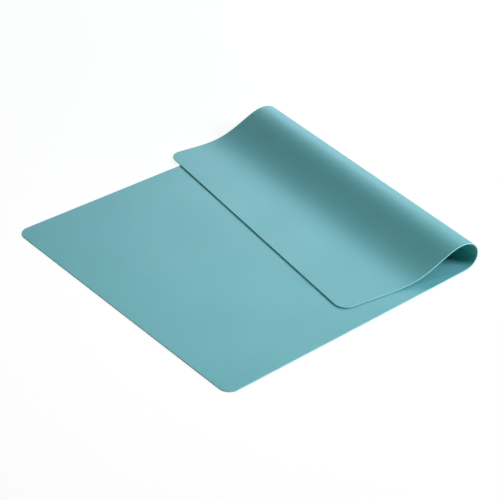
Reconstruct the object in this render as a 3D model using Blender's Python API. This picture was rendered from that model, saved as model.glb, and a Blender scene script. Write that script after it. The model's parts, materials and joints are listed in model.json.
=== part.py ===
"""Silicone counter mat, 640 x 400 x 1.5 mm, lying on a counter with one end folded back over itself.

The real mat is one moulded sheet of silicone. It bends nowhere but at the fold, so the model splits it
there, along lines parallel to the fold: a flat base panel, a row of curved fold strips, and the flap panel
that lies back on the base. Each strip is hinged to the one before it at the middle of the sheet's thickness,
and turning every hinge back by its own angle lays the whole mat out.

The flat mat is made first, as a plate with round corners and moulded round edges. Each zone is cut out of it
and then laid along the bend line. Flat coordinates are (across, along, height): across the fold, along the
fold, and above the counter. The base panel's free end is near across = 0.
"""

import math

import bmesh
import bpy
import numpy as np
from mathutils import Euler, Vector

# The sheet, in metres
MAT_LENGTH = 0.640
MAT_WIDTH = 0.400
THICKNESS = 0.0015
CORNER_RADIUS = 0.0155
EDGE_RADIUS = 0.0005

# The fold: its line is a little askew, and the sheet's radius goes from tight to easy round the loop
FOLD_SKEW = math.radians(4.4)
FLAP_LENGTH = 0.0495
TIGHT_RADIUS = 0.01465
EASY_RADIUS = 0.0278
LIFT_LENGTH = 0.0240
CROWN_LENGTH = 0.0425
DIP_LENGTH = 0.0405
SETTLE_LENGTH = 0.0495

# Clearances: at a seam once its hinge is turned flat, and between the flap and the base
SEAM_GAP = 0.0003
LAY_GAP = 0.0003

# How finely the sheet is split and faceted
FOLD_STRIPS = 7
FACETS_PER_STRIP = 9
CORNER_STEPS = 8
EDGE_STEPS = 2
BEND_SAMPLES = 4000

SILICONE_COLOUR = (0.180, 0.472, 0.533, 1.0)
SILICONE_ROUGHNESS = 0.55


def running_sum(at, values):
    """The integral of values up to each point of at, by trapezoids, starting from zero."""
    areas = np.diff(at) * (values[1:] + values[:-1]) / 2
    return np.concatenate([[0.0], np.cumsum(areas)])


class BendLine:
    """The middle of the sheet's thickness, seen along the fold, from where it lifts off the counter.

    The curvature runs in straight stretches: from none to the tightest as the sheet lifts, easing over the
    crown, to none down the far side, then bending the other way through the dip until it lies level again.
    """

    def __init__(self, descent_length):
        tight, easy = 1 / TIGHT_RADIUS, 1 / EASY_RADIUS
        turned = (tight * LIFT_LENGTH + (tight + easy) * CROWN_LENGTH + easy * descent_length) / 2
        counter = 2 * (turned - math.pi) / (DIP_LENGTH + SETTLE_LENGTH)
        stretches = [0.0, LIFT_LENGTH, CROWN_LENGTH, descent_length, DIP_LENGTH, SETTLE_LENGTH]
        knots = np.cumsum(stretches)
        self.length = knots[-1]
        self.run = np.linspace(0.0, self.length, BEND_SAMPLES)
        self.curvature = np.interp(self.run, knots, [0.0, tight, easy, 0.0, -counter, 0.0])
        self.slope = running_sum(self.run, self.curvature)
        self.reach = running_sum(self.run, np.cos(self.slope))
        self.rise = running_sum(self.run, np.sin(self.slope))

    def at(self, run):
        """Reach, rise and slope at distances run along the sheet; it goes on straight past both ends."""
        before, past = np.minimum(run, 0.0), np.maximum(run - self.length, 0.0)
        reach = np.interp(run, self.run, self.reach) + before + past * math.cos(self.slope[-1])
        rise = np.interp(run, self.run, self.rise) + past * math.sin(self.slope[-1])
        return reach, rise, np.interp(run, self.run, self.slope)

    def strip_bounds(self):
        """Distances along the sheet that bound the strips, which are narrower where it bends more tightly.

        Each strip takes an equal share of the sum of the curvature's square root, so that each one's arc
        stands off its own chord by the same small height.
        """
        share = running_sum(self.run, np.sqrt(np.abs(self.curvature)))
        return np.interp(np.linspace(0.0, share[-1], FOLD_STRIPS + 1), share, self.run)

    def hinge_turns(self):
        """How far each hinge turns to lay the sheet out, from the change of direction between its zones.

        A strip's direction is its chord's. The base lies level, and the flap's slope is the bend line's end's.
        """
        reach, rise, _ = self.at(self.strip_bounds())
        chords = np.unwrap(np.arctan2(np.diff(rise), np.diff(reach)))
        return np.diff(np.concatenate([[0.0], chords, self.slope[-1:]]))


def landing_bend():
    """The bend line whose descent is as long as it takes for the flap to come down onto the base."""
    target = THICKNESS + LAY_GAP
    short, long = 0.0, 4 * EASY_RADIUS
    for _ in range(60):
        middle = (short + long) / 2
        if BendLine(middle).rise[-1] > target:
            short = middle
        else:
            long = middle
    return BendLine((short + long) / 2)


BEND = landing_bend()
FREE_END_AT_MIDDLE = MAT_LENGTH * math.cos(FOLD_SKEW) - MAT_WIDTH / 2 * math.sin(FOLD_SKEW)
FOLD_START = FREE_END_AT_MIDDLE - FLAP_LENGTH - BEND.length


def middle_of_width(across):
    """Where the middle of the mat's width lies, along the fold, on the line at this distance across."""
    return (MAT_WIDTH / 2 + across * math.sin(FOLD_SKEW)) / math.cos(FOLD_SKEW)


def laid(flat):
    """Points of the flat mat, moved to where they lie on the folded mat, in the fold's own axes."""
    across, along, height = np.asarray(flat, float).reshape(-1, 3).T
    reach, rise, slope = BEND.at(across - FOLD_START)
    off_middle = height - THICKNESS / 2
    return np.stack(
        [
            FOLD_START + reach - off_middle * np.sin(slope),
            along,
            THICKNESS / 2 + rise + off_middle * np.cos(slope),
        ],
        axis=1,
    )


def outline(inset, height):
    """The flat mat's outline, drawn in by inset: four quarter circles joined by straight edges."""
    radius = CORNER_RADIUS - inset
    points = []
    for corner, (end, side) in enumerate([(0, 0), (1, 0), (1, 1), (0, 1)]):
        length_wise = MAT_LENGTH - CORNER_RADIUS if end else CORNER_RADIUS
        width_wise = MAT_WIDTH - CORNER_RADIUS if side else CORNER_RADIUS
        for step in range(CORNER_STEPS + 1):
            angle = math.radians(180 + 90 * (corner + step / CORNER_STEPS))
            u = length_wise + radius * math.cos(angle)
            v = width_wise + radius * math.sin(angle)
            across = u * math.cos(FOLD_SKEW) - v * math.sin(FOLD_SKEW)
            along = u * math.sin(FOLD_SKEW) + v * math.cos(FOLD_SKEW)
            points.append((across, along, height))
    return points


def flat_mat():
    """The mat before it is folded: outlines stacked up through a round lower and upper edge, and capped."""
    quarter = [math.radians(90 * step / EDGE_STEPS) for step in range(EDGE_STEPS + 1)]
    lower = [(EDGE_RADIUS * (1 - math.sin(a)), EDGE_RADIUS * (1 - math.cos(a))) for a in quarter]
    levels = lower + [(inset, THICKNESS - height) for inset, height in reversed(lower)]
    mat = bmesh.new()
    rings = [[mat.verts.new(p) for p in outline(inset, height)] for inset, height in levels]
    for below, above in zip(rings, rings[1:]):
        for i in range(len(below)):
            j = (i + 1) % len(below)
            mat.faces.new([below[i], below[j], above[j], above[i]])
    mat.faces.new(list(reversed(rings[0])))
    mat.faces.new(rings[-1])
    return mat


def slice_across(mat, at, drop_below=False, drop_above=False):
    """Cuts the flat mat along the line at this distance across, and closes it where a side is dropped."""
    everything = mat.verts[:] + mat.edges[:] + mat.faces[:]
    cut = bmesh.ops.bisect_plane(
        mat,
        geom=everything,
        dist=1e-7,
        plane_co=(at, 0, 0),
        plane_no=(1, 0, 0),
        clear_inner=drop_below,
        clear_outer=drop_above,
    )
    if drop_below or drop_above:
        rim = [e for e in cut["geom_cut"] if isinstance(e, bmesh.types.BMEdge)]
        bmesh.ops.contextual_create(mat, geom=rim)


def seam_gap(turn):
    """The gap at a seam on the folded mat, wide enough not to shut when its hinge turns flat."""
    return SEAM_GAP + THICKNESS * math.tan(abs(turn) / 2)


def zone(whole, start=None, end=None, facets=1):
    """One zone of the flat mat, from start to end across, with cuts between for the bend to follow."""
    piece = whole.copy()
    if start is not None:
        slice_across(piece, start, drop_below=True)
    if end is not None:
        slice_across(piece, end, drop_above=True)
    for facet in range(1, facets):
        slice_across(piece, start + (end - start) * facet / facets)
    return piece


def silicone(name):
    """Moulded silicone: one colour right through, with a soft matte skin."""
    material = bpy.data.materials.new(name)
    material.use_nodes = True
    shader = material.node_tree.nodes["Principled BSDF"]
    shader.inputs["Base Color"].default_value = SILICONE_COLOUR
    shader.inputs["Roughness"].default_value = SILICONE_ROUGHNESS
    shader.inputs["Metallic"].default_value = 0.0
    material.diffuse_color = SILICONE_COLOUR
    return material


def zones_of_mat():
    """Name, hinge place across the flat mat (none for the base panel) and flat piece of every zone."""
    whole = flat_mat()
    hinges = FOLD_START + BEND.strip_bounds()
    back_off = np.array([seam_gap(turn) / 2 for turn in BEND.hinge_turns()])
    starts, ends = hinges + back_off, hinges - back_off
    zones = [("base_panel", None, zone(whole, end=ends[0]))]
    for number in range(1, FOLD_STRIPS + 1):
        strip = zone(whole, starts[number - 1], ends[number], FACETS_PER_STRIP)
        zones.append((f"fold_strip_{number}", hinges[number - 1], strip))
    zones.append(("flap_panel", hinges[-1], zone(whole, start=starts[-1])))
    whole.free()
    return zones


def hinge_point(across):
    """The middle of a hinge line, at half the sheet's thickness, in the fold's own axes."""
    on_flat = (across, middle_of_width(across), THICKNESS / 2)
    return Vector(laid([on_flat])[0])


def build():
    """Makes every zone an object, each hinged to the one before it by its origin and its parent."""
    turn = Euler((0.0, 0.0, -FOLD_SKEW))
    zones = zones_of_mat()
    points = np.concatenate([laid([v.co for v in piece.verts]) for _, _, piece in zones])
    in_room = points @ np.array(turn.to_matrix()).T
    low, high = in_room.min(axis=0), in_room.max(axis=0)
    corner = Vector((-(low[0] + high[0]) / 2, -(low[1] + high[1]) / 2, -low[2]))

    parent, parent_origin = None, Vector()
    for name, hinge, piece in zones:
        origin = Vector() if hinge is None else hinge_point(hinge)
        for vertex, place in zip(piece.verts, laid([v.co for v in piece.verts])):
            vertex.co = Vector(place) - origin
        mesh = bpy.data.meshes.new(name)
        piece.to_mesh(mesh)
        piece.free()
        mesh.materials.append(silicone(f"silicone_{name}"))
        part = bpy.data.objects.new(name, mesh)
        bpy.context.scene.collection.objects.link(part)
        if parent is None:
            part.rotation_euler = turn
            part.location = corner
        else:
            part.parent = parent
            part.location = origin - parent_origin
        parent, parent_origin = part, origin


def clear_scene():
    """Removes whatever the opened file holds."""
    for thing in list(bpy.data.objects):
        bpy.data.objects.remove(thing, do_unlink=True)


clear_scene()
build()
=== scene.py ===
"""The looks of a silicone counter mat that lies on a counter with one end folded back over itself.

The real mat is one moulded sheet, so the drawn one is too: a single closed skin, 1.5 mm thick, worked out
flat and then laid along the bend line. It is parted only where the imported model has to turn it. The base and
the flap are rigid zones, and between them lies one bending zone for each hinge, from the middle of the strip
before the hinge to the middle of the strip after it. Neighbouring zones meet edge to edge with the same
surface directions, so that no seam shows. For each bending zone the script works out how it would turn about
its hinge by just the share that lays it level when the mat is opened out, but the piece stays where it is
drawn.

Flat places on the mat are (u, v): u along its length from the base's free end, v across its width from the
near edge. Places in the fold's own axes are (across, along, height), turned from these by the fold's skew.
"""

from __future__ import annotations

import json
import logging
import math
from dataclasses import dataclass, field
from enum import Enum
from functools import cached_property
from typing import Any

import bpy
import numpy as np
import numpy.typing as npt
from mathutils import Matrix, Vector

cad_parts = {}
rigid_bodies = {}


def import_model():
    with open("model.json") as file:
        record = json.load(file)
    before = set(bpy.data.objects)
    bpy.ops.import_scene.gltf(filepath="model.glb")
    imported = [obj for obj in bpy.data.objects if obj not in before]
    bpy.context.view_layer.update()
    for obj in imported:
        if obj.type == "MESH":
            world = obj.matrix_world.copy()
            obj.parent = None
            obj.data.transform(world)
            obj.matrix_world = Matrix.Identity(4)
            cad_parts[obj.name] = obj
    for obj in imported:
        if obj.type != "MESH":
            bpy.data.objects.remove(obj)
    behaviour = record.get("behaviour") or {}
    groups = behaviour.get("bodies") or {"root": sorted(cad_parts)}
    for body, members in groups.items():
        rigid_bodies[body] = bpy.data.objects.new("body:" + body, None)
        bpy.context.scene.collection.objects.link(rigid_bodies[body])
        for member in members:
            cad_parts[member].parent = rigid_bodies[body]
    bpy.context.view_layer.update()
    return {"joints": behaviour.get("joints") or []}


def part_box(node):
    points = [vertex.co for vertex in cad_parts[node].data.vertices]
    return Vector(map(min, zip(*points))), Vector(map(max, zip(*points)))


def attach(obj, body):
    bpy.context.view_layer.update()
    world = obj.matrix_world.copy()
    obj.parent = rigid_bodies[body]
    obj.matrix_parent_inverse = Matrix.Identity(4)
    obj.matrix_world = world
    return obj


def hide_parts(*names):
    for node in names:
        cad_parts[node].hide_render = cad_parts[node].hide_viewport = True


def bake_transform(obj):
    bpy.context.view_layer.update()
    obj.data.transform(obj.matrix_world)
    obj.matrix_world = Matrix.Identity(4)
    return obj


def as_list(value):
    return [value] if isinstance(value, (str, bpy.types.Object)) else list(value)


Array = npt.NDArray[np.float64]
Indices = npt.NDArray[np.int64]
Colour = tuple[float, float, float, float]
Tree = bpy.types.NodeTree
Socket = bpy.types.NodeSocket

MILLIMETRE = 0.001
WHITE = "ffffff"

# How often the search for the descent halves its range, and at how many places a zone's bend is sampled
HALVINGS = 60
BEND_SAMPLES = 50

# The sockets of a Mix node that mixes colours, by number, because their names aren't unique
FACTOR, FIRST_COLOUR, SECOND_COLOUR = 0, 6, 7
MIXED_COLOUR = 2

log = logging.getLogger("counter_mat")


def linear(hex_colour: str) -> Colour:
    """Turns an sRGB hex colour into the linear values that Blender's sockets take.

    Args:
        hex_colour: six hex digits, such as "7fb9c2".

    Returns:
        Red, green, blue and an alpha of 1.
    """
    encoded = [int(hex_colour[i:i + 2], 16) / 255 for i in (0, 2, 4)]
    red, green, blue = (c / 12.92 if c <= 0.04045 else ((c + 0.055) / 1.055) ** 2.4 for c in encoded)
    return red, green, blue, 1.0


def running_sum(at: Array, values: Array) -> Array:
    """The integral of values up to each point of at, by trapezoids, starting from zero.

    Args:
        at: rising places along a line.
        values: the values there.

    Returns:
        One sum for each place.
    """
    areas = np.diff(at) * (values[1:] + values[:-1]) / 2
    return np.concatenate([[0.0], np.cumsum(areas)])


def turned_about_z(points: Array, angle: float) -> Array:
    """Turns points or directions about the upright axis.

    Args:
        points: an array of x, y, z rows.
        angle: radians, anticlockwise from above.

    Returns:
        The turned rows.
    """
    cos, sin = math.cos(angle), math.sin(angle)
    return points @ np.array([[cos, sin, 0.0], [-sin, cos, 0.0], [0.0, 0.0, 1.0]])


class End(Enum):
    """How a zone ends: at the mat's own moulded edge, or at a cut where the next zone goes on."""

    MOULDED = "moulded"
    CUT = "cut"


class Lie(Enum):
    """How a zone of the sheet is held."""

    FLAT = "laid"
    BENT = "folded"


@dataclass(frozen=True)
class BendLine:
    """The middle of the sheet's thickness through the fold, seen along the fold. Sizes in metres.

    The curvature runs in straight stretches: from none to the tightest as the sheet lifts off the counter,
    easing over the crown, to none down the far side, then bending the other way through the dip until the
    sheet lies level again. The slope is the curvature's running sum, and the reach and rise are the running
    sums of the slope's cosine and sine.

    Args:
        descent: length of the far side, down to where the curvature is none.
        tight_radius: the tightest radius, where the sheet has lifted.
        easy_radius: the radius at the crown's far end.
        lift: length in which the sheet lifts off.
        crown: length of the crown.
        dip: length in which the sheet starts to bend the other way.
        settle: length in which it comes to lie level.
        strips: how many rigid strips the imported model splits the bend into.
        samples: at how many distances the line is worked out.
    """

    descent: float
    tight_radius: float = 0.01465
    easy_radius: float = 0.0278
    lift: float = 0.0240
    crown: float = 0.0425
    dip: float = 0.0405
    settle: float = 0.0495
    strips: int = 7
    samples: int = 4000

    @classmethod
    def landing_at(cls, height: float) -> BendLine:
        """Finds, by halving, the descent that brings the sheet's end down to a height.

        Args:
            height: how far above its start the bend line ends.

        Returns:
            The bend line.
        """
        short, long = 0.0, 4 * cls.easy_radius
        for _ in range(HALVINGS):
            middle = (short + long) / 2
            if cls(middle).rise[-1] > height:
                short = middle
            else:
                long = middle
        return cls((short + long) / 2)

    @cached_property
    def knots(self) -> Array:
        """Distances along the sheet at which the curvature's slant changes."""
        return np.cumsum([0.0, self.lift, self.crown, self.descent, self.dip, self.settle])

    @cached_property
    def run(self) -> Array:
        """Evenly spaced distances along the sheet."""
        return np.linspace(0.0, self.knots[-1], self.samples)

    @cached_property
    def curvature(self) -> Array:
        """Curvature at each distance. The counter bend undoes all that is turned past half a turn."""
        tight, easy = 1 / self.tight_radius, 1 / self.easy_radius
        turned = (tight * self.lift + (tight + easy) * self.crown + easy * self.descent) / 2
        counter = 2 * (turned - math.pi) / (self.dip + self.settle)
        return np.interp(self.run, self.knots, [0.0, tight, easy, 0.0, -counter, 0.0])

    @cached_property
    def slope(self) -> Array:
        """Angle above level at each distance."""
        return running_sum(self.run, self.curvature)

    @cached_property
    def reach(self) -> Array:
        """Distance across the fold at each distance along the sheet."""
        return running_sum(self.run, np.cos(self.slope))

    @cached_property
    def rise(self) -> Array:
        """Height at each distance along the sheet."""
        return running_sum(self.run, np.sin(self.slope))

    def at(self, run: Array) -> tuple[Array, Array, Array]:
        """Follows the bend line, and goes on straight past both of its ends.

        Args:
            run: distances along the sheet from where it lifts off the counter.

        Returns:
            Reach, rise and slope at each.
        """
        before, past = np.minimum(run, 0.0), np.maximum(run - self.knots[-1], 0.0)
        reach = np.interp(run, self.run, self.reach) + before + past * math.cos(self.slope[-1])
        rise = np.interp(run, self.run, self.rise) + past * math.sin(self.slope[-1])
        return reach, rise, np.interp(run, self.run, self.slope)

    @cached_property
    def hinges(self) -> Array:
        """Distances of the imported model's hinges: equal shares of the curvature's square root."""
        share = running_sum(self.run, np.sqrt(np.abs(self.curvature)))
        return np.interp(np.linspace(0.0, share[-1], self.strips + 1), share, self.run)

    @cached_property
    def directions(self) -> Array:
        """The angle above level of each rigid body: the base, each strip's chord, and the flap."""
        reach, rise, _ = self.at(self.hinges)
        chords = np.unwrap(np.arctan2(np.diff(rise), np.diff(reach)))
        return np.concatenate([[0.0], chords, self.slope[-1:]])

    @cached_property
    def joins(self) -> Array:
        """Distances at which the bending zones meet, and both of the bend's ends.

        They meet halfway along each strip, but at the first hinge of the strip where the bend turns the other
        way, because beyond that hinge no share of its turn up to 1 would lay the sheet level.
        """
        halfway = (self.hinges[1:] + self.hinges[:-1]) / 2
        side = np.sign(np.interp(halfway, self.run, self.curvature))
        turns_back = np.concatenate([[False], side[1:] < side[:-1]])
        inner = np.where(turns_back, self.hinges[:-1], halfway)
        return np.concatenate([self.hinges[:1], inner, self.hinges[-1:]])

    def share_of_turn(self, hinge: int, run: float) -> float:
        """The share of a hinge's turn that lays a point level once the mat is opened out.

        It is the angle from the direction of the body before the hinge to the straight line through the hinge
        and the point, divided by the hinge's whole turn.

        Args:
            hinge: which hinge, from 0.
            run: the point's distance along the sheet.

        Returns:
            0 where the point moves with the body before the hinge, 1 where with the body after it.
        """
        before, after = self.directions[hinge], self.directions[hinge + 1]
        reach, rise, slope = self.at(np.array([self.hinges[hinge], run]))
        line = math.atan2(rise[1] - rise[0], reach[1] - reach[0]) if run != self.hinges[hinge] else slope[0]
        if run < self.hinges[hinge]:
            line += math.pi
        off = (line - before + math.pi) % (2 * math.pi) - math.pi
        return off / (after - before)


@dataclass(frozen=True)
class Blend:
    """Between which two points, in the fold's cross-section, a zone passes from one body to the next."""

    start: tuple[float, float]
    end: tuple[float, float]


@dataclass(frozen=True)
class Zone:
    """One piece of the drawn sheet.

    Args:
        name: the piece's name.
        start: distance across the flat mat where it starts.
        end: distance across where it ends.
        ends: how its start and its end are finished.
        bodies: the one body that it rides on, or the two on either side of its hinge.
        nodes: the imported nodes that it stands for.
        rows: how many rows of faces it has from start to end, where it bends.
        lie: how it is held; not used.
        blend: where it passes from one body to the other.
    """

    name: str
    start: float
    end: float
    ends: tuple[End, End]
    bodies: tuple[str, ...]
    nodes: tuple[str, ...]
    rows: int = 0
    lie: Lie = Lie.FLAT
    blend: Blend | None = None


@dataclass(frozen=True)
class Skin:
    """A zone's closed mesh before it is given to Blender.

    Args:
        places: vertex places.
        facings: the surface's direction at each vertex.
        sides: four-cornered faces of the sheet's faces and edges.
        caps: faces that close the cuts.
        cap_facings: for each cap, -1 where it faces back along the mat and 1 where it faces on.
    """

    places: Array
    facings: Array
    sides: list[list[int]]
    caps: list[list[int]]
    cap_facings: Array


@dataclass(frozen=True)
class EdgeSection:
    """The moulded edge's cross-section: a quarter round, a short upright wall and another quarter round.

    Going up, the inset from the outline is radius * (1 - sin a) on the lower round, with a from 0 to 90
    degrees, and the height is radius * (1 - cos a). The upper round mirrors it.

    Args:
        thickness: the sheet's thickness.
        radius: the rounds' radius.
        steps: how many faces each round has.
    """

    thickness: float
    radius: float
    steps: int

    @cached_property
    def quarter(self) -> Array:
        """The angles that the quarter round is drawn at."""
        return np.linspace(0.0, math.pi / 2, self.steps + 1)

    @cached_property
    def insets(self) -> Array:
        """How far each level is drawn in from the outline."""
        lower = self.radius * (1 - np.sin(self.quarter))
        return np.concatenate([lower, lower[::-1]])

    @cached_property
    def heights(self) -> Array:
        """Each level's height above the sheet's underside."""
        lower = self.radius * (1 - np.cos(self.quarter))
        return np.concatenate([lower, self.thickness - lower[::-1]])

    @cached_property
    def outward(self) -> Array:
        """How far each level faces outwards."""
        lower = np.sin(self.quarter)
        return np.concatenate([lower, lower[::-1]])

    @cached_property
    def upward(self) -> Array:
        """How far each level faces up."""
        lower = -np.cos(self.quarter)
        return np.concatenate([lower, -lower[::-1]])

    def wall(self, rim: Array, out: Array) -> tuple[Array, Array]:
        """Carries the levels between the sheet's two faces along a stretch of its outline.

        A point is the outline's, drawn in by the level's inset along the outward direction, at the level's
        height. It faces outwards and up by the level's two shares.

        Args:
            rim: u, v rows where the flat faces end, one radius inside the outline.
            out: the outward directions there.

        Returns:
            Places and directions as u, v, height rows, with all the levels of one spot in a row.
        """
        outline = rim + self.radius * out
        spread = (len(rim), len(self.heights) - 2, 1)
        drawn_in = outline[:, None] - self.insets[1:-1, None] * out[:, None]
        aside = self.outward[1:-1, None] * out[:, None]
        height = np.broadcast_to(self.heights[1:-1, None], spread)
        up = np.broadcast_to(self.upward[1:-1, None], spread)
        places = np.concatenate([drawn_in, height], axis=2).reshape(-1, 3)
        return places, np.concatenate([aside, up], axis=2).reshape(-1, 3)


@dataclass(frozen=True)
class Slices:
    """Straight lines across the flat mat, each from a point on its near edge to one on its far edge.

    Args:
        near: the near points on the outline, as u, v rows.
        near_out: the outline's outward directions there.
        far: the far points.
        far_out: the outward directions there.
    """

    near: Array
    near_out: Array
    far: Array
    far_out: Array

    def reversed_along(self, length: float) -> Slices:
        """The same lines as seen from the mat's other end.

        Args:
            length: the mat's length.

        Returns:
            The lines, in the opposite order.
        """
        mirror, turn = np.array([-1.0, 1.0]), np.array([length, 0.0])
        near, far = (side[::-1] * mirror + turn for side in (self.near, self.far))
        near_out, far_out = (side[::-1] * mirror for side in (self.near_out, self.far_out))
        return Slices(near, near_out, far, far_out)

    def moulded_runs(self, ends: tuple[End, End], columns: int) -> list[list[tuple[int, int]]]:
        """The stretches of the outline that aren't cut, anticlockwise from above.

        Args:
            ends: how the first and the last line are finished.
            columns: how many faces lie side by side along each line.

        Returns:
            For each stretch, its spots as line and column numbers.
        """
        last = len(self.near) - 1
        near = [(line, 0) for line in range(last + 1)]
        far = [(line, columns) for line in range(last, -1, -1)]
        if ends[1] is End.MOULDED:
            return [near + [(last, column) for column in range(1, columns)] + far]
        if ends[0] is End.MOULDED:
            return [far + [(0, column) for column in range(columns - 1, 0, -1)] + near]
        return [near, far]

    def skin(self, ends: tuple[End, End], columns: int, edge: EdgeSection) -> Skin:
        """Closes the plate over these lines, with the moulded edge's section wherever it isn't cut.

        The lower and upper faces are grids: a point is the near end plus a share of the way to the far end,
        where both ends lie one edge radius inside the outline.

        Args:
            ends: how the first and the last line are finished.
            columns: how many faces lie side by side along each line.
            edge: the moulded edge's section.

        Returns:
            The mesh, with places and directions as u, v, height rows.
        """
        lines = len(self.near)
        share = np.linspace(0.0, 1.0, columns + 1)[None, :, None]
        near, far = (self.near - edge.radius * self.near_out, self.far - edge.radius * self.far_out)
        grid = near[:, None] * (1 - share) + far[:, None] * share
        lower = np.arange(lines * (columns + 1)).reshape(lines, columns + 1)
        upper = lower + lower.size
        outs = np.zeros_like(grid)
        outs[0], outs[-1] = (-1.0, 0.0), (1.0, 0.0)
        outs[:, 0], outs[:, -1] = self.near_out, self.far_out

        flat_up = with_height(np.zeros((lower.size, 2)), 1.0)
        places = [with_height(grid.reshape(-1, 2), height) for height in (0.0, edge.thickness)]
        facings = [-flat_up, flat_up]
        made, sides, up_the_edge = 2 * lower.size, [], {}
        for run in self.moulded_runs(ends, columns):
            spots = tuple(np.array(run).T)
            wall, wall_facings = edge.wall(grid[spots], outs[spots])
            between = made + np.arange(len(wall)).reshape(len(run), -1)
            rows = np.column_stack([lower[spots], between, upper[spots]])
            places.append(wall)
            facings.append(wall_facings)
            sides.append(quads_between(rows))
            up_the_edge.update(zip(run, rows))
            made += len(wall)
        sides += [quads_between(upper), quads_between(lower)[:, ::-1]]

        caps, cap_facings = [], []
        for line, end, facing in ((0, ends[0], -1.0), (lines - 1, ends[1], 1.0)):
            if end is End.CUT:
                up_near, up_far = up_the_edge[(line, 0)], up_the_edge[(line, columns)]
                faces = cap_faces(lower[line], upper[line], up_near, up_far)
                caps += faces if facing > 0 else [face[::-1] for face in faces]
                cap_facings += [facing] * len(faces)
        return Skin(
            places=np.concatenate(places),
            facings=np.concatenate(facings),
            sides=np.concatenate(sides).tolist(),
            caps=caps,
            cap_facings=np.array(cap_facings),
        )


def with_height(flat: Array, height: float) -> Array:
    """Flat u, v rows with the same height added to each."""
    return np.column_stack([flat, np.full(len(flat), height)])


def quads_between(rows: Indices) -> Indices:
    """Four-cornered faces between neighbouring rows and columns of a grid of vertex numbers.

    Args:
        rows: vertex numbers; going to the next row and then to the next column turns anticlockwise, as seen
            from outside.

    Returns:
        One row of four vertex numbers for each face.
    """
    corners = (rows[:-1, :-1], rows[1:, :-1], rows[1:, 1:], rows[:-1, 1:])
    return np.stack([corner.ravel() for corner in corners], axis=1)


def cap_faces(lower: Indices, upper: Indices, near: Indices, far: Indices) -> list[list[int]]:
    """Faces that close a cut, seen looking back along the mat: squares, and a rounded one at each side.

    Args:
        lower: vertex numbers along the cut's lower edge, from near to far.
        upper: those along its upper edge.
        near: those up the near side.
        far: those up the far side.

    Returns:
        The faces' vertex numbers.
    """
    middle = np.stack([lower[:-1], lower[1:], upper[1:], upper[:-1]], axis=1)
    return middle.tolist() + [near[::-1].tolist(), far.tolist()]


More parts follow.
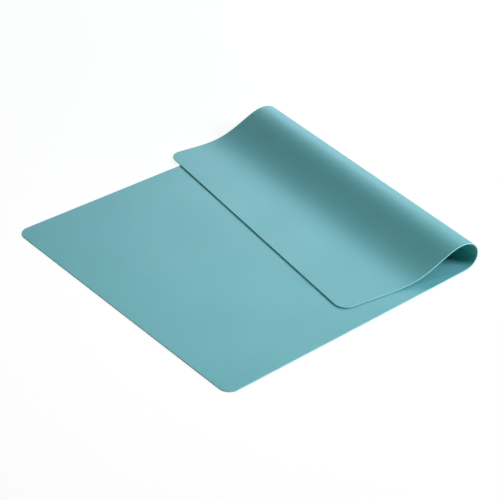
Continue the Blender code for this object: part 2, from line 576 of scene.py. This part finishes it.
@dataclass(frozen=True)
class MouldedSilicone:
    """Platinum-cured silicone rubber, pigmented right through and pressed between blasted plates.

    The plates leave a fine even grain, which spreads every highlight, so the skin looks smooth and matte.
    It holds a trace of fine dust, as silicone does, which greys it a little, most where it is seen edge on.
    Light sinks up to a few millimetres into the rubber before it comes out again, the red least of all and
    the green deepest, so the sheet lets a little green light through where a lamp stands behind it. The
    pigment and the skin are a little cloudy, and the sheet lies in faint waves. Its two long sides are painted
    paler than its ends: a painted highlight that stands in for the light catching those edges.

    Args:
        colour: the pigment.
        shaded_colour: the pigment where it is cloudiest.
        edge_highlight_colour: the two long sides' pale colour, a painted highlight.
        roughness: the skin's middle roughness.
        roughness_spread: how far the clouds take it up and down.
        refraction: silicone's refractive index.
        dustiness: how much dust the skin holds.
        dust_spread: how widely the dust spreads light.
        sunk_share: the share of the light that sinks in.
        sinking: how far red, green and blue sink, as shares of the depth.
        sinking_depth: how far the deepest of them sinks.
        seam_margins: distances from a cut between which the sunk light goes from none to all of it.
        clouding: how wide a cloud is.
        cloud_range: the noise that makes the cloudiest and the clearest pigment.
        cloud_detail: how many finer layers the clouds have.
        waves: how wide a wave of the sheet is.
        wave_depth: how deep it is.
        grain: how wide a grain is. A real one, about 0.1 mm, is too fine to show, so it is drawn coarser.
        grain_depth: how deep it is.
        relief_detail: how many finer layers the waves and the grain have.
    """

    colour: str = "5ab1bb"
    shaded_colour: str = "58afb9"
    # painted highlight: the long sides' pale colour stands in for the light catching those edges
    edge_highlight_colour: str = "b6f8ff"
    roughness: float = 0.5
    roughness_spread: float = 0.02
    refraction: float = 1.41
    dustiness: float = 0.25
    dust_spread: float = 0.6
    sunk_share: float = 0.5
    sinking: tuple[float, float, float] = (0.12, 1.0, 0.62)
    sinking_depth: float = 4.4 * MILLIMETRE
    seam_margins: tuple[float, float] = (0.6 * MILLIMETRE, 1.8 * MILLIMETRE)
    clouding: float = 75 * MILLIMETRE
    cloud_range: tuple[float, float] = (0.3, 0.7)
    cloud_detail: float = 2.0
    waves: float = 45 * MILLIMETRE
    wave_depth: float = 0.25 * MILLIMETRE
    grain: float = 0.6 * MILLIMETRE
    grain_depth: float = 0.004 * MILLIMETRE
    relief_detail: float = 1.0

    def material(self) -> bpy.types.Material:
        """Makes the material, whose pattern lies on the flat mat, so it goes round the fold unbroken.

        Returns:
            The material.
        """
        material = bpy.data.materials.new("moulded_teal_silicone")
        material.use_nodes = True
        tree = material.node_tree
        shader = tree.nodes["Principled BSDF"]
        shader.inputs["IOR"].default_value = self.refraction
        shader.inputs["Sheen Weight"].default_value = self.dustiness
        shader.inputs["Sheen Roughness"].default_value = self.dust_spread
        shader.inputs["Subsurface Radius"].default_value = self.sinking
        shader.inputs["Subsurface Scale"].default_value = self.sinking_depth
        flat = add_node(tree, "ShaderNodeUVMap", uv_map=CounterMat.flat_map).outputs["UV"]
        # how far each point faces across the mat, which places the long sides' painted highlight
        side = add_node(tree, "ShaderNodeAttribute", attribute_name=CounterMat.edge_highlight_share)
        edge_highlight = side.outputs["Fac"]
        texture = {"Vector": flat, "Scale": 1 / self.clouding, "Detail": self.cloud_detail}
        noise = add_node(tree, "ShaderNodeTexNoise", texture).outputs["Fac"]
        cloudiest, clearest = self.cloud_range
        ramp = {"Value": noise, "From Min": cloudiest, "From Max": clearest}
        clouds = add_node(tree, "ShaderNodeMapRange", ramp).outputs["Result"]
        dullest, smoothest = self.roughness + self.roughness_spread, self.roughness - self.roughness_spread
        spread = {"Value": clouds, "To Min": dullest, "To Max": smoothest}
        traits = {
            "Base Color": self.tint(tree, clouds, edge_highlight),
            "Roughness": add_node(tree, "ShaderNodeMapRange", spread).outputs["Result"],
            "Subsurface Weight": self.sunk_light(tree, edge_highlight),
            "Normal": self.relief(tree, flat),
        }
        for socket, feed in traits.items():
            tree.links.new(feed, shader.inputs[socket])
        return material

    def tint(self, tree: Tree, clouds: Socket, edge_highlight: Socket) -> Socket:
        """The pigment under its clouds, and the long sides painted paler as a painted highlight.

        Args:
            tree: the material's node tree.
            clouds: how clear the pigment is, from 0 where it is cloudiest to 1.
            edge_highlight: how far the surface faces across the mat, which is where the long sides take their
                painted highlight.

        Returns:
            The colour's socket.
        """
        pigments = {FIRST_COLOUR: linear(self.shaded_colour), SECOND_COLOUR: linear(self.colour)}
        pigment = add_node(tree, "ShaderNodeMix", {FACTOR: clouds, **pigments}, data_type="RGBA")
        # painted highlight: the long sides are mixed towards the pale colour
        parts = {FIRST_COLOUR: pigment.outputs[MIXED_COLOUR], SECOND_COLOUR: linear(self.edge_highlight_colour)}
        whole = add_node(tree, "ShaderNodeMix", {FACTOR: edge_highlight, **parts}, data_type="RGBA")
        return whole.outputs[MIXED_COLOUR]

    def sunk_light(self, tree: Tree, edge_highlight: Socket) -> Socket:
        """The share of the light that sinks in: none at a cut, and none on the long sides, so that it doesn't
        soften their painted highlight.

        Args:
            tree: the material's node tree.
            edge_highlight: how far the surface faces across the mat, which is where the long sides take their
                painted highlight.

        Returns:
            The share's socket.
        """
        # no sunk light on the long sides, so that their painted highlight stays bright
        fade = {"Value": edge_highlight, "To Min": self.sunk_share, "To Max": 0.0}
        away_from_cuts = add_node(tree, "ShaderNodeMapRange", fade)
        from_cut = add_node(tree, "ShaderNodeAttribute", attribute_name=CounterMat.from_cut)
        none_within, all_beyond = self.seam_margins
        ramp = {
            "Value": from_cut.outputs["Fac"],
            "From Min": none_within,
            "From Max": all_beyond,
            "To Max": away_from_cuts.outputs["Result"],
        }
        share = add_node(tree, "ShaderNodeMapRange", ramp, interpolation_type="SMOOTHSTEP")
        return share.outputs["Result"]

    def relief(self, tree: Tree, flat: Socket) -> Socket:
        """The sheet's faint waves, with the blasted grain on them.

        Args:
            tree: the material's node tree.
            flat: a point's place on the flat mat.

        Returns:
            The surface direction's socket.
        """
        under: dict[str, Socket] = {}
        for width, depth in ((self.waves, self.wave_depth), (self.grain, self.grain_depth)):
            texture = {"Vector": flat, "Scale": 1 / width, "Detail": self.relief_detail}
            height = add_node(tree, "ShaderNodeTexNoise", texture).outputs["Fac"]
            raised = {"Height": height, "Distance": depth, "Strength": 1.0, **under}
            under = {"Normal": add_node(tree, "ShaderNodeBump", raised).outputs["Normal"]}
        return under["Normal"]


def add_node(
    tree: Tree, kind: str, inputs: dict[str | int, Any] | None = None, **settings: Any
) -> bpy.types.Node:
    """Adds a node with its settings and links.

    Args:
        tree: the material's or world's node tree.
        kind: the node's Blender type.
        inputs: for each input, by name or number, a value or the socket that feeds it.
        settings: the node's own properties.

    Returns:
        The node.
    """
    node = tree.nodes.new(kind)
    for name, value in settings.items():
        setattr(node, name, value)
    for socket, value in (inputs or {}).items():
        if isinstance(value, Socket):
            tree.links.new(value, node.inputs[socket])
        else:
            node.inputs[socket].default_value = value
    return node


@dataclass(frozen=True)
class CounterMat:
    """The whole mat: one sheet, 640 by 400 mm, folded back over itself. Metres and radians.

    Args:
        length: the flat sheet's length.
        width: its width.
        thickness: its thickness.
        corner_radius: the radius of its four corners, seen from above.
        edge_radius: the radius of its edges' rounds.
        skew: how far the fold's line is off square.
        flap_length: how much of the sheet lies level past the bend, at the middle of its width.
        lay_gap: the gap between the flap and the base.
        corner_rows: how many rows of faces a corner has.
        panel_rows: how many rows of faces the straight part of the base or the flap has.
        columns: how many faces lie side by side across the sheet.
        edge_steps: how many faces each round of the edge has.
        finest_turn: how far the sheet bends from one row of faces to the next.
        finish: what it is made of.
    """

    length: float = 0.640
    width: float = 0.400
    thickness: float = 0.0015
    corner_radius: float = 0.0155
    edge_radius: float = 0.0005
    skew: float = math.radians(4.4)
    flap_length: float = 0.0495
    lay_gap: float = 0.0003
    corner_rows: int = 24
    panel_rows: int = 24
    columns: int = 40
    edge_steps: int = 5
    finest_turn: float = math.radians(1.0)
    finish: MouldedSilicone = field(default_factory=MouldedSilicone)

    # The names under which each mesh keeps what the finish reads
    flat_map = "flat_mat"
    # how far each point faces across the mat, where the long sides take their painted highlight
    edge_highlight_share = "edge_highlight_share"
    from_cut = "from_cut"

    @cached_property
    def bend(self) -> BendLine:
        """The bend line that brings the flap down onto the base."""
        return BendLine.landing_at(self.thickness + self.lay_gap)

    @cached_property
    def fold_start(self) -> float:
        """How far across the flat mat the sheet lifts off the counter."""
        free_end = self.length * math.cos(self.skew) - self.width / 2 * math.sin(self.skew)
        return free_end - self.flap_length - self.bend.knots[-1]

    @cached_property
    def edge(self) -> EdgeSection:
        """The moulded edge's section."""
        return EdgeSection(self.thickness, self.edge_radius, self.edge_steps)

    def laid(self, flat: Array, facings: Array) -> tuple[Array, Array]:
        """Lays flat places and directions along the bend line, into the row frame.

        A point goes to the bend line's point at its distance across, and its height above the sheet's middle
        is carried along the line's upright. Its direction turns by the line's slope.

        Args:
            flat: u, v, height rows.
            facings: directions in the same axes.

        Returns:
            Places and directions, as x, y, z rows before the move to the mat's corner.
        """
        across, along, height = turned_about_z(flat, self.skew).T
        aside, along_facing, up = turned_about_z(facings, self.skew).T
        reach, rise, slope = self.bend.at(across - self.fold_start)
        cos, sin, off_middle = np.cos(slope), np.sin(slope), height - self.thickness / 2
        places = np.column_stack(
            [self.fold_start + reach - off_middle * sin, along, self.thickness / 2 + rise + off_middle * cos]
        )
        turned = np.column_stack([aside * cos - up * sin, along_facing, aside * sin + up * cos])
        return turned_about_z(places, -self.skew), turned_about_z(turned, -self.skew)

    def slices(self, zone: Zone) -> Slices:
        """Lines across a zone of the flat mat.

        At a cut the line is along the fold: v = 0 is met at u = across / cos(skew), and v = width at
        u = (across + width sin(skew)) / cos(skew). Round the corners the lines keep one u each: with a from 0
        to 90 degrees, u = r (1 - cos a) and v = r (1 - sin a) from either edge.

        Args:
            zone: the zone.

        Returns:
            Its lines, in order from its start to its end.
        """
        if zone.ends[1] is End.MOULDED:
            from_far_end = (self.length - u for u in self.cut_ends(zone.start))
            return self.panel_slices(*from_far_end).reversed_along(self.length)
        if zone.ends[0] is End.MOULDED:
            return self.panel_slices(*self.cut_ends(zone.end))
        across = np.linspace(zone.start, zone.end, zone.rows + 1)
        return self.straight_slices(*self.cut_ends(across))

    def cut_ends(self, across: Array | float) -> tuple[Array | float, Array | float]:
        """The u at which lines along the fold, at these distances across, meet the near and far edges."""
        return across / math.cos(self.skew), (across + self.width * math.sin(self.skew)) / math.cos(self.skew)

    def middle_u(self, across: float) -> float:
        """The u at which a line along the fold, at this distance across, is halfway over the mat's width."""
        return across / math.cos(self.skew) + self.width / 2 * math.tan(self.skew)

    def straight_slices(self, near_u: Array, far_u: Array) -> Slices:
        """Lines between points of the mat's two straight sides.

        Args:
            near_u: the points on the near side.
            far_u: the points on the far side.

        Returns:
            The lines.
        """
        near = np.column_stack([near_u, np.zeros_like(near_u)])
        far = np.column_stack([far_u, np.full_like(far_u, self.width)])
        out = np.broadcast_to([0.0, 1.0], near.shape)
        return Slices(near, -out, far, out)

    def panel_slices(self, near_end: float, far_end: float) -> Slices:
        """Lines from the mat's free end, round its two corners, to a cut.

        Args:
            near_end: the cut's u on the near edge.
            far_end: its u on the far edge.

        Returns:
            The lines.
        """
        radius, angle = self.corner_radius, np.linspace(0.0, math.pi / 2, self.corner_rows + 1)
        out = np.column_stack([-np.cos(angle), -np.sin(angle)])
        near = radius + radius * out
        flip, across = np.array([1.0, -1.0]), np.array([0.0, self.width])
        share = np.linspace(0.0, 1.0, self.panel_rows + 1)[1:]
        straight = self.straight_slices(*(radius + (end - radius) * share for end in (near_end, far_end)))
        return Slices(
            np.concatenate([near, straight.near]),
            np.concatenate([out, straight.near_out]),
            np.concatenate([near * flip + across, straight.far]),
            np.concatenate([out * flip, straight.far_out]),
        )

    def blend_over(self, hinge: int) -> Blend:
        """Where a bending zone passes from the body before its hinge to the one after.

        The frame turns a point by the smooth step s = t t (3 - 2 t) of its share t of the way from start to
        end. Both are set along the sheet's direction at the hinge, so that at either end of the zone the step
        is the share of the turn that opens it level. The step's inverse is t = 1/2 - sin(asin(1 - 2 s) / 3).

        Args:
            hinge: which hinge, from 0.

        Returns:
            The two points.
        """
        bend = self.bend
        ends = bend.joins[hinge:hinge + 2]
        reach, rise, _ = bend.at(ends)
        hinge_reach, hinge_rise, slope = (float(v[0]) for v in bend.at(bend.hinges[hinge:hinge + 1]))
        ahead = np.array([math.cos(slope), math.sin(slope)])
        far = (np.column_stack([reach, rise]) - (hinge_reach, hinge_rise)) @ ahead
        turned = np.clip([bend.share_of_turn(hinge, float(end)) for end in ends], 0.0, 1.0)
        step = 0.5 - np.sin(np.arcsin(1 - 2 * turned) / 3)
        span = (far[1] - far[0]) / (step[1] - step[0])
        start = far[0] - step[0] * span
        at_hinge = np.array([hinge_reach, hinge_rise])
        return Blend(tuple(at_hinge + start * ahead), tuple(at_hinge + (start + span) * ahead))

    def zones(self, joints: list[dict]) -> list[Zone]:
        """Parts the sheet: the base, a bending zone for each hinge, and the flap.

        Args:
            joints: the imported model's joints, in order from the base.

        Returns:
            The zones, in the same order.
        """
        nodes = ["base_panel"] + [f"fold_strip_{n + 1}" for n in range(self.bend.strips)] + ["flap_panel"]
        joins = self.fold_start + self.bend.joins
        found = [
            Zone(
                name="silicone_base",
                start=0.0,
                end=joins[0],
                ends=(End.MOULDED, End.CUT),
                bodies=(joints[0]["parent"],),
                nodes=(nodes[0],),
            )
        ]
        for hinge, joint in enumerate(joints):
            start, end = joins[hinge:hinge + 2]
            run = np.linspace(*self.bend.joins[hinge:hinge + 2], BEND_SAMPLES)
            turned = np.abs(np.diff(self.bend.at(run)[2])).sum()
            found.append(
                Zone(
                    name=f"silicone_bend_{hinge + 1}",
                    start=start,
                    end=end,
                    ends=(End.CUT, End.CUT),
                    bodies=(joint["parent"], joint["child"]),
                    nodes=tuple(nodes[max(hinge, 1):min(hinge + 2, self.bend.strips + 1)]),
                    rows=math.ceil(turned / self.finest_turn),
                    lie=Lie.BENT,
                    blend=self.blend_over(hinge),
                )
            )
        found.append(
            Zone(
                name="silicone_flap",
                start=joins[-1],
                end=self.length * math.cos(self.skew),
                ends=(End.CUT, End.MOULDED),
                bodies=(joints[-1]["child"],),
                nodes=(nodes[-1],),
            )
        )
        return found

    def in_room(self, spot: tuple[float, float], corner: Array) -> Vector:
        """Carries a point of the fold's cross-section, halfway along the fold, into the row frame.

        Args:
            spot: its reach and rise on the bend line's axes.
            corner: the mat's near corner in the row frame.

        Returns:
            The point.
        """
        reach, rise = spot
        middle = np.array([[self.fold_start + reach, self.width / 2, self.thickness / 2 + rise]])
        return Vector(turned_about_z(middle, -self.skew)[0] + corner)

    def mesh(self, zone: Zone, corner: Array) -> bpy.types.Mesh:
        """Makes a zone's mesh, with its exact surface directions and its places on the flat mat.

        Args:
            zone: the zone.
            corner: the mat's near corner in the row frame.

        Returns:
            The mesh.
        """
        skin = self.slices(zone).skin(zone.ends, self.columns, self.edge)
        places, facings = self.laid(skin.places, skin.facings)
        mesh = bpy.data.meshes.new(zone.name)
        mesh.from_pydata((places + corner).tolist(), [], skin.sides + skin.caps)
        mesh.polygons.foreach_set("use_smooth", np.ones(len(mesh.polygons), bool))
        corner_vertex = np.zeros(len(mesh.loops), np.int32)
        mesh.loops.foreach_get("vertex_index", corner_vertex)
        flat_map = mesh.uv_layers.new(name=self.flat_map)
        flat_map.uv.foreach_set("vector", skin.places[corner_vertex, :2].astype(np.float32).ravel())
        kept = {
            # how far each point faces across the mat, which places the painted highlight on the long sides
            self.edge_highlight_share: np.abs(skin.facings[:, 1]),
            self.from_cut: self.distance_from_cuts(zone, skin.places),
        }
        for name, values in kept.items():
            attribute = mesh.attributes.new(name, "FLOAT", "POINT")
            attribute.data.foreach_set("value", values.astype(np.float32))

        cuts = np.where(skin.cap_facings < 0, zone.start, zone.end)
        slope = self.bend.at(cuts - self.fold_start)[2]
        ahead = np.column_stack([np.cos(slope), np.zeros_like(slope), np.sin(slope)])
        cap_facings = turned_about_z(ahead * skin.cap_facings[:, None], -self.skew)
        sizes = [len(face) for face in skin.caps]
        at_corners = facings[corner_vertex]
        at_corners[-sum(sizes):] = np.repeat(cap_facings, sizes, axis=0)
        mesh.normals_split_custom_set(at_corners.tolist())
        return mesh

    def piece(self, zone: Zone, corner: Array, material: bpy.types.Material) -> bpy.types.Object:
        """Makes a zone's piece: a flat one rides on its body, and a bending one stays where it is drawn.

        Args:
            zone: the zone.
            corner: the mat's near corner in the row frame.
            material: its finish.

        Returns:
            The piece.
        """
        made = bpy.data.objects.new(zone.name, self.mesh(zone, corner))
        made.data.materials.append(material)
        bpy.context.scene.collection.objects.link(made)
        if zone.blend is None:
            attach(made, zone.bodies[0])
        else:
            self.in_room(zone.blend.start, corner)
            self.in_room(zone.blend.end, corner)
            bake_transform(made)
        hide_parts(*zone.nodes)
        return made

    def distance_from_cuts(self, zone: Zone, flat: Array) -> Array:
        """How far each point of the outside of the fold is from the nearest place where its zone is cut.

        Light that sinks into the rubber can't cross a cut, so the finish keeps it at the skin there. Points
        of the sheet's other face count as far away, because in there the sunk light is what shows.

        Args:
            zone: the zone.
            flat: its u, v, height rows on the flat mat.

        Returns:
            One distance for each point, in metres.
        """
        across = turned_about_z(flat, self.skew)[:, 0]
        from_start = across - zone.start if zone.ends[0] is End.CUT else np.full(len(flat), self.length)
        from_end = zone.end - across if zone.ends[1] is End.CUT else np.full(len(flat), self.length)
        return np.where(flat[:, 2] > self.thickness / 2, self.length, np.minimum(from_start, from_end))

    def flat_length(self, zone: Zone) -> float:
        """How long a zone is on the flat mat: halfway over the width, or square to the fold where it bends.

        Args:
            zone: the zone.

        Returns:
            Its length in metres.
        """
        if zone.ends[0] is End.MOULDED:
            return self.middle_u(zone.end)
        if zone.ends[1] is End.MOULDED:
            return self.length - self.middle_u(zone.start)
        return zone.end - zone.start

    def build(self, joints: list[dict]) -> None:
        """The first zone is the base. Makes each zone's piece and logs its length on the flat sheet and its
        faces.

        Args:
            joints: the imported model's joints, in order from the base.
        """
        corner = np.array([*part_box("base_panel")[0][:2], 0.0])
        material = self.finish.material()
        under: list[str] = []
        for zone in self.zones(joints):
            made = self.piece(zone, corner, material)
            flat_length = self.flat_length(zone)
            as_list(under)
            under = under or [made.name]
            millimetres, faces = flat_length / MILLIMETRE, len(made.data.polygons)
            log.info("%s: %.1f mm of the sheet, %d faces", zone.name, millimetres, faces)


@dataclass(frozen=True)
class Softbox:
    """A square studio lamp behind white cloth.

    Args:
        name: the lamp's name.
        azimuth: degrees from +X, anticlockwise from above.
        elevation: degrees above the counter.
        distance: metres from the mat's middle.
        side: its width and height in metres.
        level: the light that it alone gives a surface that faces it, where 1 shows a colour as written.
        colour: its sRGB hex colour.
    """

    name: str
    azimuth: float
    elevation: float
    distance: float
    side: float
    level: float
    colour: str

    def build(self) -> None:
        """Hangs the lamp, aimed at the mat. At distance d, power P lights what faces it by P / (pi d)^2."""
        lamp = bpy.data.lights.new(self.name, "AREA")
        lamp.shape = "SQUARE"
        lamp.size = self.side
        lamp.energy = self.level * (math.pi * self.distance) ** 2
        lamp.color = linear(self.colour)[:3]
        azimuth, elevation = math.radians(self.azimuth), math.radians(self.elevation)
        out = math.cos(elevation)
        back = Vector((math.cos(azimuth) * out, math.sin(azimuth) * out, math.sin(elevation)))
        aim = back.to_track_quat("Z", "Y").to_matrix().to_4x4()
        made = bpy.data.objects.new(self.name, lamp)
        made.matrix_world = Matrix.Translation(back * self.distance) @ aim
        bpy.context.scene.collection.objects.link(made)


@dataclass(frozen=True)
class Studio:
    """A pale sweep of floor that the camera sees as white, white surroundings and soft lamps.

    Args:
        floor_side: the floor's width and length in metres.
        floor_drop: how far the floor lies under the mat, so that the two don't share a plane.
        floor_colour: the paper's own colour.
        floor_lit_share: how much of what is seen of the floor is the paper under the lamps, shadow included.
        floor_glow: how white the rest of what is seen of it is.
        lamps: the softboxes, of which the two large ones are faintly cool and the small one faintly warm.
    """

    floor_side: float = 12.0
    floor_drop: float = 0.0002
    floor_colour: str = "ededed"
    floor_lit_share: float = 0.2
    floor_glow: float = 1.1
    lamps: tuple[Softbox, ...] = (
        Softbox("key_softbox", azimuth=-45.0, elevation=31.0,
                distance=2.4, side=1.0, level=0.871, colour="f3faff"),
        Softbox("back_softbox", azimuth=40.0, elevation=30.0,
                distance=2.0, side=0.9, level=0.399, colour="e5f5ff"),
        Softbox("top_softbox", azimuth=210.0, elevation=68.0,
                distance=0.6, side=0.3, level=0.284, colour="fff4e1"),
    )

    def build(self) -> None:
        """Builds the floor, the surroundings and the lamps."""
        self.build_floor()
        self.build_world()
        for lamp in self.lamps:
            lamp.build()
        log.info("studio: floor, surroundings and %d lamps", len(self.lamps))

    def seen(self, tree: Tree) -> Socket:
        """Tells what is looked at from what only gives light.

        Args:
            tree: the floor's or the surroundings' node tree.

        Returns:
            A socket that is 1 for what the camera, a reflection or a see-through surface shows, else 0.
        """
        path = add_node(tree, "ShaderNodeLightPath")
        seen = path.outputs["Is Camera Ray"]
        for ray in ("Is Glossy Ray", "Is Transmission Ray"):
            pair = {0: seen, 1: path.outputs[ray]}
            seen = add_node(tree, "ShaderNodeMath", pair, operation="MAXIMUM").outputs["Value"]
        return seen

    def build_floor(self) -> None:
        """A matte floor. What is seen of it is mostly its own white, so the mat's shadow stays faint."""
        half, drop = self.floor_side / 2, -self.floor_drop
        corners = [(-half, -half, drop), (half, -half, drop), (half, half, drop), (-half, half, drop)]
        mesh = bpy.data.meshes.new("floor")
        mesh.from_pydata(corners, [], [(0, 1, 2, 3)])
        material = bpy.data.materials.new("matte_white_paper")
        material.use_nodes = True
        tree = material.node_tree
        tree.nodes.clear()
        output = add_node(tree, "ShaderNodeOutputMaterial")
        paper = add_node(tree, "ShaderNodeBsdfDiffuse", {"Color": linear(self.floor_colour)})
        glow = add_node(tree, "ShaderNodeEmission", {"Color": linear(WHITE), "Strength": self.floor_glow})
        shares = {0: self.seen(tree), 1: 1 - self.floor_lit_share}
        glowing = add_node(tree, "ShaderNodeMath", shares, operation="MULTIPLY")
        both = {0: glowing.outputs["Value"], 1: paper.outputs["BSDF"], 2: glow.outputs["Emission"]}
        mixed = add_node(tree, "ShaderNodeMixShader", both)
        tree.links.new(mixed.outputs["Shader"], output.inputs["Surface"])
        mesh.materials.append(material)
        floor = bpy.data.objects.new("floor", mesh)
        bpy.context.scene.collection.objects.link(floor)

    def build_world(self) -> None:
        """Surroundings that are white where they are seen, and give no light of their own."""
        world = bpy.data.worlds.new("white_surroundings")
        bpy.context.scene.world = world
        world.use_nodes = True
        tree = world.node_tree
        tree.nodes.clear()
        output = add_node(tree, "ShaderNodeOutputWorld")
        white = {"Color": linear(WHITE), "Strength": self.seen(tree)}
        background = add_node(tree, "ShaderNodeBackground", white)
        tree.links.new(background.outputs["Background"], output.inputs["Surface"])


@dataclass(frozen=True)
class ProductCamera:
    """The photograph's camera, worked out from the mat's straight edges, its corners and the fold's outline.

    Args:
        place: where it stands, in the row frame.
        heading: degrees that it looks to the right of +Y.
        dip: degrees that it looks down.
        roll: degrees that it leans.
        lens: focal length in mm.
        sensor: the sensor's width in mm.
        sight: how far it sees, in metres.
    """

    place: tuple[float, float, float] = (-1.13083, -1.18572, 1.10901)
    heading: float = 43.735
    dip: float = 34.452
    roll: float = 3.667
    lens: float = 113.94
    sensor: float = 36.0
    sight: float = 50.0

    def build(self) -> None:
        """Makes the camera and gives it to the scene.

        Unturned it looks straight down with its top towards +Y. It leans by the roll, then is raised about X
        until it looks along +Y by the dip below level, and then turns right by the heading.
        """
        data = bpy.data.cameras.new("product_camera")
        data.sensor_width = self.sensor
        data.lens = self.lens
        data.clip_end = self.sight
        turns = ((-self.heading, "Z"), (90.0 - self.dip, "X"), (self.roll, "Z"))
        aim = Matrix.Identity(4)
        for degrees, axis in turns:
            aim = aim @ Matrix.Rotation(math.radians(degrees), 4, axis)
        made = bpy.data.objects.new("product_camera", data)
        made.matrix_world = Matrix.Translation(self.place) @ aim
        bpy.context.scene.collection.objects.link(made)
        bpy.context.scene.camera = made
        log.info("camera: %.1f mm lens", self.lens)


def main() -> None:
    """Builds the mat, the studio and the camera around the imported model."""
    logging.basicConfig(level=logging.INFO, format="%(message)s")
    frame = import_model()
    bpy.context.scene.view_settings.view_transform = "Standard"
    CounterMat().build(frame["joints"])
    Studio().build()
    ProductCamera().build()


if __name__ == "__main__":
    main()
